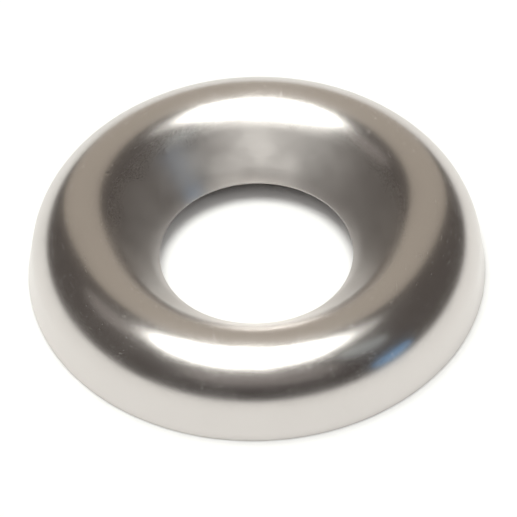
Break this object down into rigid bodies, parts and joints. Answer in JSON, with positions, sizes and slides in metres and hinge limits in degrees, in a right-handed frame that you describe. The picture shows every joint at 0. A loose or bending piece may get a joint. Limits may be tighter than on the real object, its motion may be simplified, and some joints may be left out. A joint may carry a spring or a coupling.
{
  "type": "finishing cup washer",
  "caption": "Round stamped sheet-metal cup washer with a rolled outer bead and a conical seat that takes a countersunk screw head.",
  "frame": {"origin": "on the washer's axis, in the plane of the skirt's foot that it rests on", "axes": "+Z along the washer's axis, from the foot towards the open side of the conical seat"},
  "size_m": [0.0174, 0.0174, 0.003],
  "materials": {
    "polished_steel": "bright stainless sheet, tumbled to a soft polish"
  },
  "bodies": {
    "root": {"cup_washer": "polished_steel"}
  },
  "joints": []
}
